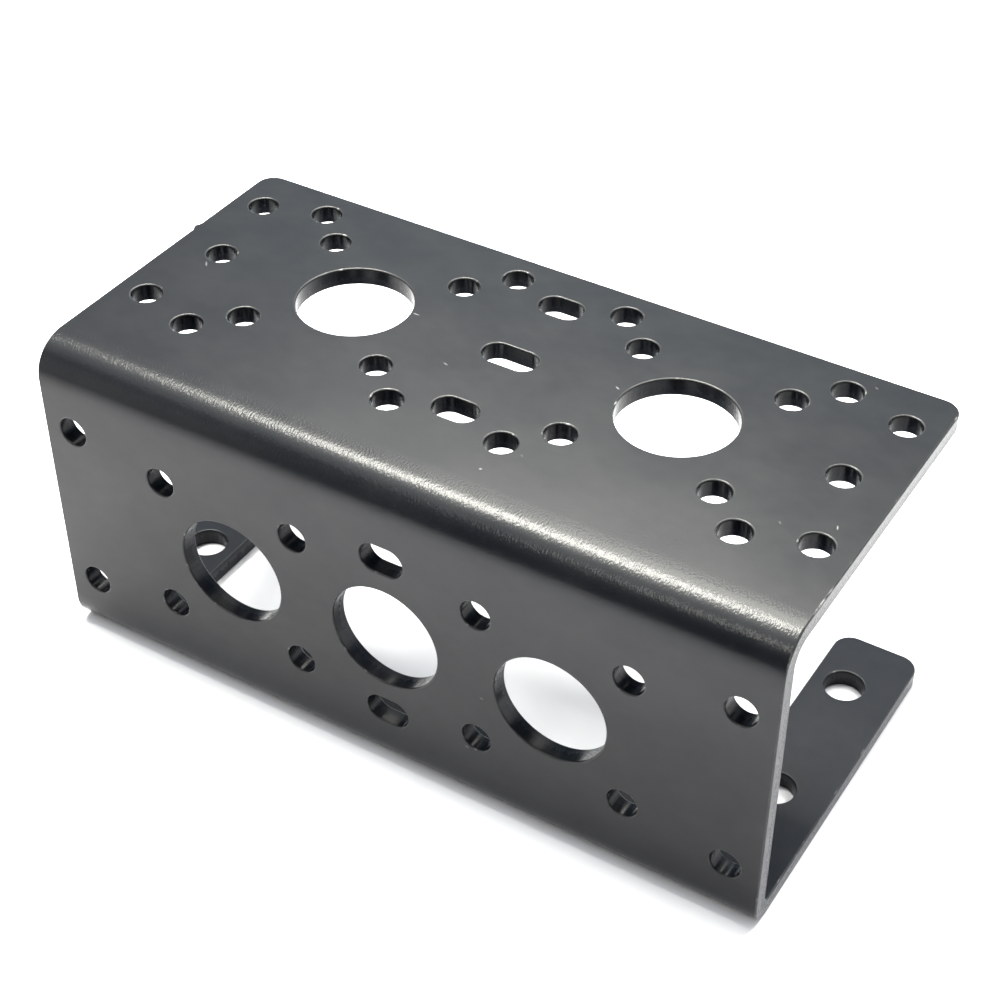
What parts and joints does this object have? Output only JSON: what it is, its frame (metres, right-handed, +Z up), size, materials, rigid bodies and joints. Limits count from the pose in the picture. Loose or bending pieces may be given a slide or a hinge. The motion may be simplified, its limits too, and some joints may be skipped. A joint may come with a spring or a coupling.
{
  "type": "servo bracket",
  "caption": "Folded sheet bracket, open at the back: a bored and drilled top panel over a matching front panel, with drilled feet below, for carrying a servo on a frame.",
  "frame": {"origin": "on the floor, under the middle of the bracket's outline", "axes": "+X along the folds, -Y out of the front panel, +Z up out of the top panel"},
  "size_m": [0.0819, 0.0398, 0.0364],
  "materials": {
    "coated_sheet": "black satin coating, with a fine sparkling grain on the outside of the top fold"
  },
  "bodies": {
    "root": {"bracket": "coated_sheet"}
  },
  "joints": []
}
